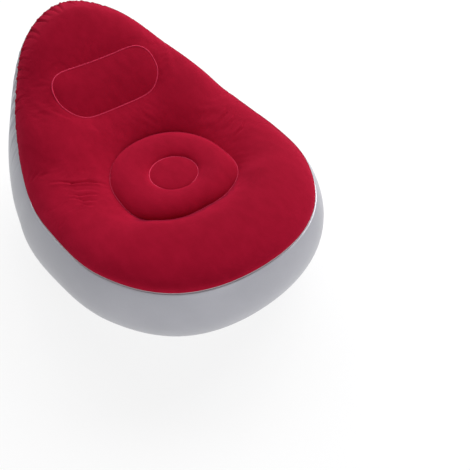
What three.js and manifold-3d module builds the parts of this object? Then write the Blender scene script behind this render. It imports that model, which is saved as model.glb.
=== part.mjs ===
// Inflatable lounge chair: a flocked bucket-shaped top sheet welded to a smooth side wall and a flat
// base sheet, held in shape by three inner webs, with a two-stage air valve low on the back.
// Millimetres. The front faces -Y, +X is the sitter's left, +Z is up, and the base rests on z = 0.
import * as THREE from 'three';
import Module from 'manifold-3d';
import { mergeVertices } from 'three/addons/utils/BufferGeometryUtils.js';

const wasm = await Module();
wasm.setup();

// Whole chair
const seatCentreY = -138.9; // the centre of the small round weld in the seat
const rimReach = 687; // from the seat centre back to the rim, in plan
const rimHeight = 645; // the rim's height at the back
const seatWeldHeight = 318; // how high the egg-shaped weld in the seat lies
const gap = 0.3; // between neighbouring pieces

// Sheets
const flockedSheet = 1;
const plainSheet = 0.5;
const webSheet = 0.5;

// The rim, where the top sheet meets the wall: at each bearing from the front, how far out and how high
const rimBearings = [0, 30, 60, 90, 120, 135, 150, 165, 180];
const rimOutShares = [0.701, 0.699, 0.652, 0.627, 0.702, 0.78, 0.878, 0.97, 1];
const rimUpShares = [0.51, 0.503, 0.495, 0.48, 0.457, 0.521, 0.683, 0.906, 1];

// The swollen bolster inside the rim: how far in its ridge stands, and how far above the rim
const softBearings = [0, 45, 90, 120, 135, 150, 157, 165, 180];
const ridgeInShares = [0.26, 0.25, 0.235, 0.25, 0.195, 0.14, 0.137, 0.125, 0.115];
const ridgeRiseShares = [0.108, 0.112, 0.086, 0.136, 0.163, 0.089, 0.063, 0.038, 0.02];
const rollTurn = 96; // degrees of arc from the ridge to the rim

// The slope from the seat weld to the ridge passes two lines, as shares of its width and of its rise
const lowerLineOutShares = [0.35, 0.38, 0.4, 0.4, 0.4, 0.4, 0.4, 0.4, 0.4];
const lowerLineUpShares = [0.55, 0.55, 0.5, 0.47, 0.45, 0.4, 0.38, 0.36, 0.35];
const upperLineOutShares = [0.68, 0.68, 0.7, 0.7, 0.7, 0.7, 0.7, 0.7, 0.7];
const upperLineUpShares = [0.9, 0.9, 0.88, 0.87, 0.84, 0.78, 0.76, 0.73, 0.72];
const creaseSlope = 1.5; // how steeply the sheet leaves the seat weld, at most
const steepestShare = 3; // of the way's own slope to the lower line, so that it never rises above that line

// The egg-shaped seat weld round the seat centre, wide at the front
const seatWeldBearings = [0, 30, 60, 90, 120, 150, 180];
const seatWeldReach = 227;
const seatWeldShares = [0.811, 0.872, 0.943, 0.898, 0.932, 0.989, 1];
const seatPuff = 30; // how far the seat swells between its welds
const creaseHalf = 9; // half the width of a weld's crease

// The small round weld
const roundWeldRadius = 82;
const roundWeldRise = 12; // how far it stands above the seat weld
const roundPuff = 9;

// The headrest weld, a rounded rectangle laid on the slope of the back
const headrestWidth = 387;
const headrestHeight = 176;
const headrestCorner = 78;
const headrestBackShare = 0.59; // of the way from the seat centre back to the rim
const headrestCentreY = seatCentreY + headrestBackShare * rimReach;
const headrestDepth = 6; // how deep its crease is
const headrestPuff = 8;
const headrestWebSetBack = 2; // from the crease's outer face, clear of the tilted sheet

// Weld lines
const weldWidth = 3;
const weldHeight = 0.8;
const weldLift = 0.8; // clear of the crease's sides
const rimWeldRadius = 1.4;

// The side wall
const wallDrawnInFront = 92; // how far the base outline stands inside the rim at the front
const wallLetOutBack = 51; // and outside it at the back
const wallBulge = 71;
const bulgePower = 0.7;
const wallRowShares = [0.025, 0.07, 0.3, 0.44, 0.58, 0.72, 0.85, 0.95];
const columns = 48;

// The webs' vents and feet
const seatVentRadius = 28;
const headrestVentShare = 0.2; // the vent's radius, as a share of the web's depth at its side
const footWidth = 12;

// The air valve, drawn along its own axis with z = 0 on the wall's outer face
const valveLowHeight = 90;
const valveHighHeight = 190;
const flangeRadius = 38;
const flangeThickness = 1.6;
const neckBore = 19;
const neckWall = 2.6;
const neckInside = 15;
const neckOutside = 6;
const plugGap = 0.4;
const plugRimRadius = 25;
const plugRimThickness = 2.2;
const plugLength = 14;
const plugFloor = 2;
const mouthRadius = 8;
const mouthWall = 2.4;
const mouthHeight = 3;
const sealGroove = 1.4;
const flapRadius = 12.5;
const flapThickness = 0.8;
const stemRadius = 1.5;
const stemBarb = 2.6;
const flapTravel = 2.5;
const capRadius = 12;
const capThickness = 2.2;
const stopperTop = 7.5;
const stopperTip = 5.6;
const stopperLength = 7;
const tabLength = 9;
const tabWidth = 10;
const capTongueWidth = 6;
const hingeOut = 21;
const hingePinRadius = 1;
const hingeLugWidth = 3;
const hingeLugLength = 5;
const strapThickness = 1.2;
const strapSpread = 50; // degrees each side of its middle

const rad = THREE.MathUtils.degToRad;
const clamp = THREE.MathUtils.clamp;

// A smooth curve through the given values. The ends lie flat unless slopes are given.
function smooth(places, values, at, firstSlope = 0, lastSlope = 0) {
  const last = places.length - 1;
  const x = clamp(at, places[0], places[last]);
  let i = 0;
  while (i < last - 1 && x > places[i + 1]) i += 1;
  const slope = (k) => {
    if (k === 0) return firstSlope;
    if (k === last) return lastSlope;
    return (values[k + 1] - values[k - 1]) / (places[k + 1] - places[k - 1]);
  };
  const span = places[i + 1] - places[i];
  const t = (x - places[i]) / span;
  const keep = 1 - t;
  const ends = values[i] * (1 + 2 * t) * keep * keep + values[i + 1] * (3 - 2 * t) * t * t;
  return ends + span * t * keep * (slope(i) * keep - slope(i + 1) * t);
}

// A bearing runs from 0 at the front to 180 at the back, alike on both sides.
const folded = (bearing) => Math.abs(((bearing + 180) % 360) - 180);
const onRim = (shares, bearing) => smooth(rimBearings, shares, folded(bearing));
const onSoft = (shares, bearing) => smooth(softBearings, shares, folded(bearing));
const rimOut = (bearing) => rimReach * onRim(rimOutShares, bearing);
const rimUp = (bearing) => rimHeight * onRim(rimUpShares, bearing);
const ridgeOut = (bearing) => rimOut(bearing) - rimReach * onSoft(ridgeInShares, bearing);
const ridgeUp = (bearing) => rimUp(bearing) + rimHeight * onSoft(ridgeRiseShares, bearing);
const seatWeldOut = (bearing) => seatWeldReach * smooth(seatWeldBearings, seatWeldShares, folded(bearing));

// A point at a bearing and a reach from the seat centre
function place(bearing, out, up) {
  const turn = rad(bearing);
  return new THREE.Vector3(out * Math.sin(turn), seatCentreY - out * Math.cos(turn), up);
}

// The height of the top sheet inside the ridge, before the headrest is pressed in
function slopeHeight(bearing, out) {
  const weld = seatWeldOut(bearing);
  const width = ridgeOut(bearing) - weld;
  const rise = ridgeUp(bearing) - seatWeldHeight;
  const places = [0, onSoft(lowerLineOutShares, bearing), onSoft(upperLineOutShares, bearing), 1];
  const heights = [0, onSoft(lowerLineUpShares, bearing), onSoft(upperLineUpShares, bearing), 1];
  const firstSlope = Math.min((creaseSlope * width) / rise, (steepestShare * heights[1]) / places[1]);
  const share = smooth(places, heights, (out - weld) / width, firstSlope);
  return seatWeldHeight + rise * share;
}

function topHeight(x, y) {
  const dy = y - seatCentreY;
  const out = Math.hypot(x, dy);
  const bearing = THREE.MathUtils.radToDeg(Math.atan2(x, -dy));
  const weld = seatWeldOut(bearing);
  if (out >= weld) return slopeHeight(bearing, out);
  if (out >= roundWeldRadius) {
    const across = (out - roundWeldRadius) / (weld - roundWeldRadius);
    const puff = seatPuff * Math.sqrt(Math.max(Math.sin(Math.PI * across), 0));
    return seatWeldHeight + roundWeldRise * (1 - across) + puff;
  }
  return seatWeldHeight + roundWeldRise + roundPuff * Math.sqrt(1 - (out / roundWeldRadius) ** 2);
}

// Behind the seat centre the top sheet is laid out flat by its length along the centre line, so that the
// steep back keeps its size
const layStep = 4;
const layOut = [{ y: seatCentreY, length: seatCentreY }];
for (let out = layStep; out <= rimReach; out += layStep) {
  const before = layOut[layOut.length - 1];
  const rise = out > seatWeldOut(180) ? slopeHeight(180, out) - slopeHeight(180, out - layStep) : 0;
  layOut.push({ y: seatCentreY + out, length: before.length + Math.hypot(layStep, rise) });
}
function layAt(key, other, value) {
  if (value <= seatCentreY) return value;
  let i = 0;
  while (i < layOut.length - 2 && value > layOut[i + 1][key]) i += 1;
  const share = (value - layOut[i][key]) / (layOut[i + 1][key] - layOut[i][key]);
  return layOut[i][other] + share * (layOut[i + 1][other] - layOut[i][other]);
}
const laid = (y) => layAt('y', 'length', y);
const unlaid = (length) => layAt('length', 'y', length);

// How far a laid-out point stands outside the headrest weld, below zero inside it
function pastHeadrest(x, length) {
  const dx = Math.abs(x) - headrestWidth / 2 + headrestCorner;
  const dl = Math.abs(length - laid(headrestCentreY)) - headrestHeight / 2 + headrestCorner;
  return Math.hypot(Math.max(dx, 0), Math.max(dl, 0)) + Math.min(Math.max(dx, dl), 0) - headrestCorner;
}

// A point of the top sheet's outer face, from its laid-out place
function topPoint(x, length) {
  const y = unlaid(length);
  const point = new THREE.Vector3(x, y, topHeight(x, y));
  const past = pastHeadrest(x, length);
  const crease = Math.max(0, 1 - Math.abs(past) / (2 * creaseHalf));
  const inside = clamp(-past / (headrestHeight / 2), 0, 1);
  const push = headrestPuff * Math.sqrt(inside) - headrestDepth * crease;
  if (push === 0) return point;
  const up = topHeight(x, unlaid(length + layStep)) - topHeight(x, unlaid(length - layStep));
  const along = unlaid(length + layStep) - unlaid(length - layStep);
  return point.add(new THREE.Vector3(0, -up, along).normalize().multiplyScalar(push));
}

// Loops of laid-out points that the sheet's facets follow
function ringOfPlaces(count, outAt, start = 0) {
  return Array.from({ length: count }, (_, k) => {
    const bearing = start + (k * 360) / count;
    const spot = place(bearing, outAt(bearing), 0);
    return [spot.x, laid(spot.y)];
  });
}

function headrestLoop(count) {
  const shape = new THREE.Shape();
  const halfWidth = headrestWidth / 2 - headrestCorner;
  const halfHeight = headrestHeight / 2 - headrestCorner;
  shape.absarc(halfWidth, halfHeight, headrestCorner, 0, Math.PI / 2);
  shape.absarc(-halfWidth, halfHeight, headrestCorner, Math.PI / 2, Math.PI);
  shape.absarc(-halfWidth, -halfHeight, headrestCorner, Math.PI, 1.5 * Math.PI);
  shape.absarc(halfWidth, -halfHeight, headrestCorner, 1.5 * Math.PI, 2 * Math.PI);
  const middle = laid(headrestCentreY);
  const points = shape.getSpacedPoints(count).slice(0, count);
  return points.map((p) => [p.x, middle + p.y]);
}

// Every loop runs anticlockwise. This moves one outwards, square to itself.
function grown(loop, way) {
  return loop.map(([x, v], k) => {
    const [beforeX, beforeV] = loop[(k + loop.length - 1) % loop.length];
    const [afterX, afterV] = loop[(k + 1) % loop.length];
    const run = Math.hypot(afterX - beforeX, afterV - beforeV);
    return [x + (way * (afterV - beforeV)) / run, v - (way * (afterX - beforeX)) / run];
  });
}

const ringCount = 32;
const roundCount = 18;
const headrestCount = 36;
const bearingStart = 180 / columns;
const ridgeLoop = ringOfPlaces(columns, ridgeOut, bearingStart);

// Each weld has a loop along its crease and one on each side, ordered inner, crease, outer
const besides = (loop, half) => [grown(loop, -half), loop, grown(loop, half)];
const seatWeldLoops = besides(ringOfPlaces(ringCount, seatWeldOut), creaseHalf);
const roundWeldLoops = besides(ringOfPlaces(roundCount, () => roundWeldRadius), creaseHalf);
const headrestLoops = besides(headrestLoop(headrestCount), 2 * creaseHalf);
const creaseOf = (loops) => loops[1];

// Fill-in places keep clear of the loops, and of the ridge by a share of the length of its edges
const fillStep = 62;
const fillClear = 26;
const ridgeClearShare = 0.62;
const slopeLoopShares = [0.22, 0.55];
const puffShare = 0.5;

function insideLoop(loop, x, v) {
  let inside = false;
  loop.forEach(([ax, av], k) => {
    const [bx, bv] = loop[(k + 1) % loop.length];
    if (av > v !== bv > v && x < ax + ((v - av) / (bv - av)) * (bx - ax)) inside = !inside;
  });
  return inside;
}

const inSeatWeld = ([x, v]) => insideLoop(creaseOf(seatWeldLoops), x, v);

const edgeLength = (loop, k) => {
  const [ax, av] = loop[k];
  const [bx, bv] = loop[(k + 1) % loop.length];
  return Math.hypot(bx - ax, bv - av);
};

function layoutPlaces() {
  const places = [
    ...ridgeLoop,
    ...seatWeldLoops.flat(),
    ...roundWeldLoops.flat(),
    ...headrestLoops.flat(),
    ...ringOfPlaces(ringCount / 2, (b) => THREE.MathUtils.lerp(roundWeldRadius, seatWeldOut(b), puffShare)),
    [0, laid(seatCentreY)],
  ];
  const clearOf = (k) => (k < columns ? ridgeClearShare * edgeLength(ridgeLoop, k) : fillClear);
  const free = (x, v) => places.every(([px, pv], k) => Math.hypot(px - x, pv - v) > clearOf(k));
  slopeLoopShares.forEach((share) => {
    const loop = ringOfPlaces(ringCount, (b) => THREE.MathUtils.lerp(seatWeldOut(b), ridgeOut(b), share));
    places.push(...loop.filter(([x, v]) => free(x, v)));
  });
  for (let v = laid(-rimReach); v < laid(rimReach); v += fillStep) {
    for (let x = 0; x < rimReach; x += fillStep) {
      if (insideLoop(ridgeLoop, x, v) && free(x, v)) {
        places.push([x, v]);
        if (x > 0) places.push([-x, v]);
      }
    }
  }
  return places;
}

// Delaunay triangles of laid-out places, added one by one. Each place is nudged a little its own way, so
// that no four lie on one circle.
const nudge = 0.002;

function triangulate(places) {
  const far = 20 * rimReach;
  const nudged = ([x, v], k) => [x + nudge * Math.sin(k * k), v + nudge * Math.cos(k * k)];
  const spots = [...places.map(nudged), [-far, -far], [far, -far], [0, far]];
  const circleOf = (a, b, c) => {
    const [ax, ay] = spots[a];
    const [bx, by] = [spots[b][0] - ax, spots[b][1] - ay];
    const [cx, cy] = [spots[c][0] - ax, spots[c][1] - ay];
    const d = 2 * (bx * cy - by * cx);
    const ux = (cy * (bx * bx + by * by) - by * (cx * cx + cy * cy)) / d;
    const uy = (bx * (cx * cx + cy * cy) - cx * (bx * bx + by * by)) / d;
    return { corners: [a, b, c], x: ax + ux, y: ay + uy, r: Math.hypot(ux, uy) };
  };
  const count = places.length;
  let triangles = [circleOf(count, count + 1, count + 2)];
  spots.slice(0, count).forEach(([x, y], index) => {
    const edges = new Map();
    const kept = [];
    triangles.forEach((t) => {
      if (Math.hypot(t.x - x, t.y - y) >= t.r) {
        kept.push(t);
        return;
      }
      t.corners.forEach((from, k) => {
        const to = t.corners[(k + 1) % 3];
        if (!edges.delete(`${to},${from}`)) edges.set(`${from},${to}`, [from, to]);
      });
    });
    triangles = kept;
    edges.forEach(([from, to]) => triangles.push(circleOf(from, to, index)));
  });
  const inRidge = ({ corners }) => {
    if (corners.some((c) => c >= count)) return false;
    const x = corners.reduce((sum, c) => sum + spots[c][0], 0) / 3;
    const v = corners.reduce((sum, c) => sum + spots[c][1], 0) / 3;
    return insideLoop(ridgeLoop, x, v);
  };
  return triangles.filter(inRidge).map((t) => t.corners);
}

// A closed sheet from its outer face: the face, its copy set in by the thickness, and strips at the edges
function sheetGeometry(points, triangles, thickness, edgeLoops) {
  const face = new THREE.BufferGeometry().setFromPoints(points);
  face.setIndex(triangles.flat());
  face.computeVertexNormals();
  const normals = face.getAttribute('normal');
  const inner = points.map((p, k) => {
    const normal = new THREE.Vector3().fromBufferAttribute(normals, k);
    return p.clone().addScaledVector(normal, -thickness);
  });
  const count = points.length;
  const indices = triangles.flatMap(([a, b, c]) => [a, b, c, a + count, c + count, b + count]);
  edgeLoops.forEach((loop) => {
    loop.forEach((from, k) => {
      const to = loop[(k + 1) % loop.length];
      indices.push(to, from, from + count, to, from + count, to + count);
    });
  });
  const geometry = new THREE.BufferGeometry().setFromPoints([...points, ...inner]);
  geometry.setIndex(indices);
  return geometry;
}

const columnBearing = (k) => bearingStart + (k * 360) / columns;
const columnList = Array.from({ length: columns }, (_, k) => k);

// The roll from the ridge down to the rim, from turn 0 on the ridge to the full turn at the rim
function rollPoint(bearing, turn) {
  const end = rad(rollTurn);
  const across = (rimOut(bearing) - ridgeOut(bearing)) / Math.sin(end);
  const drop = (ridgeUp(bearing) - rimUp(bearing)) / (1 - Math.cos(end));
  const out = ridgeOut(bearing) + across * Math.sin(rad(turn));
  return place(bearing, out, ridgeUp(bearing) - drop * (1 - Math.cos(rad(turn))));
}

const edgeClearance = rimWeldRadius + gap;

// The point on the line from one place towards another, a set way along
const towards = (from, to, way) => from.clone().addScaledVector(to.clone().sub(from).normalize(), way);

const rollTurnShares = [0.25, 0.5, 0.72, 0.9];

// The sheet settles between its welds: each free point goes a share of the way to the middle of its
// neighbours, and most of the way back, which evens the sheet out without flattening it.
const settleShares = [0.5, -0.5, 0.5, -0.4, 0.5, -0.4];

function settle(points, triangles, isFree) {
  const neighbours = points.map(() => new Set());
  triangles.forEach(([a, b, c]) => {
    neighbours[a].add(b).add(c);
    neighbours[b].add(c).add(a);
    neighbours[c].add(a).add(b);
  });
  settleShares.forEach((share) => {
    const before = points.map((p) => p.clone());
    points.forEach((p, k) => {
      if (!isFree(k)) return;
      const middle = new THREE.Vector3();
      neighbours[k].forEach((n) => middle.addScaledVector(before[n], 1 / neighbours[k].size));
      p.lerp(middle, share);
    });
  });
}

function topPanelGeometry() {
  const places = layoutPlaces();
  const points = places.map(([x, v]) => topPoint(x, v));
  const triangles = triangulate(places);
  const loopPlaces = columns + [seatWeldLoops, roundWeldLoops, headrestLoops].flat(2).length;
  const inHeadrest = ([x, v]) => pastHeadrest(x, v) < 0;
  settle(points, triangles, (k) => k >= loopPlaces && !inSeatWeld(places[k]) && !inHeadrest(places[k]));
  const addRow = (rowPoint, before) => {
    const first = points.length;
    columnList.forEach((k) => points.push(rowPoint(columnBearing(k))));
    columnList.forEach((k) => {
      const next = (k + 1) % columns;
      triangles.push([before[k], first + k, first + next], [before[k], first + next, before[next]]);
    });
    return columnList.map((k) => first + k);
  };
  let row = columnList;
  rollTurnShares.forEach((share) => {
    row = addRow((bearing) => rollPoint(bearing, rollTurn * share), row);
  });
  const lastTurn = rollTurn * rollTurnShares[rollTurnShares.length - 1];
  const rimEdge = (bearing) => towards(rollPoint(bearing, rollTurn), rollPoint(bearing, lastTurn), edgeClearance);
  row = addRow(rimEdge, row);
  return sheetGeometry(points, triangles, flockedSheet, [row]);
}

// The wall: the base outline stands in from the rim at the front and out from it at the back
function wallPoint(bearing, share) {
  const step = 0.5;
  const rim = place(bearing, rimOut(bearing), rimUp(bearing));
  const before = place(bearing - step, rimOut(bearing - step), 0);
  const after = place(bearing + step, rimOut(bearing + step), 0);
  const outward = new THREE.Vector3(after.y - before.y, before.x - after.x, 0).normalize();
  const rimLength = rimOut(0) + rimOut(180);
  const back = (rim.y - seatCentreY + rimOut(0)) / rimLength;
  const drawnIn = THREE.MathUtils.lerp(wallDrawnInFront, -wallLetOutBack, back);
  const bulge = wallBulge * Math.sin(Math.PI * share) ** bulgePower;
  rim.addScaledVector(outward, bulge - drawnIn * (1 - share));
  rim.z *= share;
  return rim;
}

function wallPanelGeometry() {
  const lowShare = valveLowHeight / rimHeight;
  const highShare = valveHighHeight / rimHeight;
  const shares = [...wallRowShares, lowShare, highShare].sort((a, b) => b - a);
  const underRim = shares[0];
  const overBase = shares[shares.length - 1];
  const rows = [
    (b) => towards(wallPoint(b, 1), wallPoint(b, underRim), edgeClearance),
    ...shares.map((share) => (b) => wallPoint(b, share)),
    (b) => towards(baseWeldPoint(b), wallPoint(b, overBase), edgeClearance),
  ];
  const points = [];
  const triangles = [];
  rows.forEach((rowPoint, r) => {
    columnList.forEach((k) => {
      points.push(rowPoint(columnBearing(k)));
      if (r === 0) return;
      const next = (k + 1) % columns;
      const [a, b] = [(r - 1) * columns + k, (r - 1) * columns + next];
      const [c, d] = [r * columns + k, r * columns + next];
      triangles.push([a, c, d], [a, d, b]);
    });
  });
  const lastRow = columnList.map((k) => (rows.length - 1) * columns + k);
  const top = [...columnList].reverse();
  return sheetGeometry(points, triangles, plainSheet, [top, lastRow]);
}

const baseWeldPoint = (bearing) => wallPoint(bearing, 0).add(new THREE.Vector3(0, 0, rimWeldRadius));

function basePanelGeometry() {
  const clear = rimWeldRadius + gap;
  const outline = columnList.map((k) => {
    const p = wallPoint(columnBearing(k), 0);
    const middle = new THREE.Vector3(0, seatCentreY, 0);
    return towards(p, middle, clear);
  });
  const shape = new THREE.Shape(outline.map((p) => new THREE.Vector2(p.x, p.y)));
  return new THREE.ExtrudeGeometry(shape, { depth: plainSheet, bevelEnabled: false });
}

// A closed tube of flat strips between loops of points, each strip joining one loop to the next
function loopsGeometry(loops) {
  const count = loops[0].length;
  const indices = [];
  loops.forEach((_, r) => {
    const [here, there] = [r * count, ((r + 1) % loops.length) * count];
    for (let k = 0; k < count; k += 1) {
      const next = (k + 1) % count;
      indices.push(here + k, here + next, there + next, here + k, there + next, there + k);
    }
  });
  const geometry = new THREE.BufferGeometry().setFromPoints(loops.flat());
  geometry.setIndex(indices);
  return geometry;
}

// How a closed loop's points move square to the loop and to a given direction
function sideways(points, along, way) {
  return points.map((p, k) => {
    const before = points[(k + points.length - 1) % points.length];
    const after = points[(k + 1) % points.length];
    const run = after.clone().sub(before);
    const side = new THREE.Vector3().crossVectors(run, along).normalize();
    return p.clone().addScaledVector(side, way);
  });
}

const up = new THREE.Vector3(0, 0, 1);
const forward = new THREE.Vector3(0, -1, 0);
const backward = new THREE.Vector3(0, 1, 0);
const shifted = (points, direction, way) => points.map((p) => p.clone().addScaledVector(direction, way));
const atHeight = (points, height) => points.map((p) => new THREE.Vector3(p.x, p.y, height));
const onTop = (loop) => loop.map(([x, v]) => topPoint(x, v));

function solid(geometry) {
  const bare = geometry.clone();
  bare.deleteAttribute('normal');
  bare.deleteAttribute('uv');
  const merged = mergeVertices(bare);
  const vertProperties = merged.getAttribute('position').array;
  const triVerts = new Uint32Array(merged.getIndex().array);
  return new wasm.Manifold(new wasm.Mesh({ numProp: 3, vertProperties, triVerts }));
}

function fromSolid(body) {
  const { vertProperties, triVerts } = body.getMesh();
  const geometry = new THREE.BufferGeometry();
  geometry.setAttribute('position', new THREE.BufferAttribute(vertProperties, 3));
  geometry.setIndex(new THREE.BufferAttribute(triVerts, 1));
  return geometry;
}

// A web standing on the base under a weld of the seat, with a foot turned outwards
function standingWeb(weldLoop) {
  const line = onTop(weldLoop);
  const top = shifted(line, up, -flockedSheet - gap);
  const floor = plainSheet + gap;
  const half = webSheet / 2;
  const outer = (points, way) => sideways(points, up, way);
  return loopsGeometry([
    outer(top, half),
    outer(top, -half),
    atHeight(outer(top, -half), floor),
    atHeight(outer(top, half + footWidth), floor),
    atHeight(outer(top, half + footWidth), floor + webSheet),
    atHeight(outer(top, half), floor + webSheet),
  ]);
}

// Round vents cut through a web from side to side and from front to back
function vented(geometry, centre, radius, reach, directions) {
  let body = solid(geometry);
  directions.forEach((turn) => {
    const cutter = new THREE.CylinderGeometry(radius, radius, 2 * reach, 16);
    if (turn !== 0) cutter.rotateZ(turn);
    cutter.translate(centre.x, centre.y, centre.z);
    body = body.subtract(solid(cutter));
  });
  return fromSolid(body);
}

const seatVentHeight = seatWeldHeight / 2;
const seatMiddle = new THREE.Vector3(0, seatCentreY, seatVentHeight);
const seatVentTurns = [0, Math.PI / 2];

const seatWeb = (loops) => {
  const web = standingWeb(creaseOf(loops));
  return vented(web, seatMiddle, seatVentRadius, seatWeldReach, seatVentTurns);
};

// Where a line straight back from a point meets the inside of the wall
function wallBehind(point, wall) {
  const caster = new THREE.Raycaster(point, backward);
  const hits = caster.intersectObject(wall);
  return hits[0].point;
}

function headrestWeb(wall) {
  const front = shifted(onTop(creaseOf(headrestLoops)), backward, headrestWebSetBack);
  const half = webSheet / 2;
  const outerFront = sideways(front, forward, half);
  const innerFront = sideways(front, forward, -half);
  const reach = (points) => points.map((p) => wallBehind(p, wall).addScaledVector(backward, -2 * gap));
  const web = loopsGeometry([outerFront, innerFront, reach(innerFront), reach(outerFront)]);
  const side = front.reduce((widest, p) => (p.x > widest.x ? p : widest));
  const depth = wallBehind(side, wall).y - side.y;
  const centre = new THREE.Vector3(0, side.y + depth / 2, side.z);
  return vented(web, centre, headrestVentShare * depth, headrestWidth, [Math.PI / 2]);
}

// A flat weld line bridging a crease of the top sheet
function weldLine(loops) {
  const [inner, crease, outer] = loops.map(onTop);
  const near = (side) => crease.map((p, k) => towards(p, side[k], weldWidth / 2));
  const [low, high] = [near(inner), near(outer)];
  const lifted = (points, way) => points.map((p, k) => {
    const before = crease[(k + crease.length - 1) % crease.length];
    const run = crease[(k + 1) % crease.length].clone().sub(before);
    const out = high[k].clone().sub(low[k]).cross(run).normalize();
    return p.clone().addScaledVector(out, way);
  });
  const top = weldLift + weldHeight;
  return loopsGeometry([lifted(low, weldLift), lifted(high, weldLift), lifted(high, top), lifted(low, top)]);
}

// A round bead along a rim
function bead(points, sides) {
  const loops = Array.from({ length: sides }, (_, k) => {
    const turn = (k * 2 * Math.PI) / sides;
    const aside = sideways(points, up, rimWeldRadius * Math.cos(turn));
    return shifted(aside, up, rimWeldRadius * Math.sin(turn));
  });
  return loopsGeometry(loops);
}

const beadSides = 6;
const rimPoints = columnList.map((k) => {
  const bearing = columnBearing(k);
  return place(bearing, rimOut(bearing), rimUp(bearing));
});
const basePoints = columnList.map((k) => baseWeldPoint(columnBearing(k)));

// Materials
const finish = (colour, roughness, metalness = 0) => () =>
  new THREE.MeshStandardMaterial({ color: colour, roughness, metalness });
const flocked = finish('#94112e', 0.95);
const flockedWeld = finish('#b94a5f', 0.6);
const silver = finish('#aeb1b6', 0.38, 0.25);
const silverWeld = finish('#c9ccd0', 0.4, 0.2);
const webVinyl = finish('#9fa3a8', 0.5);
const valveVinyl = finish('#c3c6ca', 0.45);
const valvePlastic = finish('#4a4d52', 0.5);
const rubber = finish('#e4e2dc', 0.6);

const chair = new THREE.Group();

function add(parent, name, geometry, material) {
  const mesh = new THREE.Mesh(geometry, material());
  mesh.name = name;
  parent.add(mesh);
  return mesh;
}

// The valve
const radialSteps = 32;
const lathe = (outline) => {
  const points = outline.map(([r, z]) => new THREE.Vector2(r, z));
  return new THREE.LatheGeometry(points, radialSteps).rotateX(Math.PI / 2);
};
const closedLathe = (outline) => lathe([...outline, outline[0]]);

const plugRadius = neckBore - plugGap;
const neckRadius = neckBore + neckWall;
const plugRimLow = neckOutside + gap;
const plugRimHigh = plugRimLow + plugRimThickness;
const mouthTop = plugRimHigh + mouthHeight;
const plugLow = plugRimHigh - plugLength;
const hingeUp = mouthTop + gap + capThickness / 2;
const hingeLugApart = capTongueWidth / 2 + gap + hingeLugWidth / 2;
const hingePinLength = 2 * hingeLugApart + hingeLugWidth;

const flangeGeometry = () => closedLathe([
  [neckBore, -neckInside],
  [neckRadius, -neckInside],
  [neckRadius, gap],
  [flangeRadius, gap],
  [flangeRadius - flangeThickness, gap + flangeThickness],
  [neckRadius, gap + flangeThickness],
  [neckRadius, neckOutside],
  [neckBore, neckOutside],
]);

// The plug screwed into the neck, with a floor that seats the flap and a mouth for the pump
const spokes = 3;
const stemHole = stemRadius + gap;
const hubRadius = stemHole + stemRadius;
const airRadius = flapRadius - 2 * stemRadius;
const grooveMiddle = (plugLow + plugRimLow) / 2;

function plugGeometry() {
  const shell = closedLathe([
    [hubRadius, plugLow],
    [plugRadius, plugLow],
    [plugRadius, grooveMiddle - sealGroove],
    [plugRadius - sealGroove, grooveMiddle - sealGroove],
    [plugRadius - sealGroove, grooveMiddle + sealGroove],
    [plugRadius, grooveMiddle + sealGroove],
    [plugRadius, plugRimLow],
    [plugRimRadius, plugRimLow],
    [plugRimRadius, plugRimHigh],
    [mouthRadius + mouthWall, plugRimHigh],
    [mouthRadius + mouthWall, mouthTop],
    [mouthRadius, mouthTop],
    [mouthRadius, plugLow + 2 * plugFloor],
    [airRadius + plugFloor, plugLow + plugFloor],
    [hubRadius, plugLow + plugFloor],
  ]);
  const hub = closedLathe([
    [stemHole, plugLow],
    [hubRadius + gap, plugLow],
    [hubRadius + gap, plugLow + plugFloor],
    [stemHole, plugLow + plugFloor],
  ]);
  let body = solid(shell).add(solid(hub));
  for (let k = 0; k < spokes; k += 1) {
    const port = new THREE.CylinderGeometry(stemHole, stemHole, 3 * plugFloor, 12).rotateX(Math.PI / 2);
    const turn = ((k + 0.5) * 2 * Math.PI) / spokes;
    const out = (hubRadius + airRadius) / 2;
    port.translate(out * Math.cos(turn), out * Math.sin(turn), plugLow + plugFloor / 2);
    body = body.subtract(solid(port));
  }
  const lugHeight = hingeUp + hingeLugLength / 2 - plugRimHigh + gap;
  [-1, 1].forEach((side) => {
    const lug = new THREE.BoxGeometry(hingeLugLength, hingeLugWidth, lugHeight);
    lug.translate(-hingeOut, side * hingeLugApart, plugRimHigh - gap + lugHeight / 2);
    body = body.add(solid(lug));
  });
  const pinHole = new THREE.CylinderGeometry(hingePinRadius + gap, hingePinRadius + gap, 2 * hingePinLength, 16);
  body = body.subtract(solid(pinHole.translate(-hingeOut, 0, hingeUp)));
  return fromSolid(body);
}

const sealGeometry = () => {
  const minor = (neckBore - plugRadius + sealGroove) / 2 - gap;
  const major = neckBore - gap - minor;
  return new THREE.TorusGeometry(major, minor, 8, radialSteps).translate(0, 0, grooveMiddle);
};

// The flap closes the floor from inside; its stem runs through the hub and ends in a barb
const flapTop = plugLow - gap;
const flapGeometry = () => lathe([
  [0, flapTop - flapThickness],
  [flapRadius, flapTop - flapThickness],
  [flapRadius, flapTop],
  [stemRadius, flapTop],
  [stemRadius, plugLow + plugFloor + flapTravel + gap],
  [stemBarb, plugLow + plugFloor + flapTravel + gap],
  [stemRadius, plugLow + plugFloor + flapTravel + 2 * stemRadius],
  [0, plugLow + plugFloor + flapTravel + 2 * stemRadius],
]);

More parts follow.
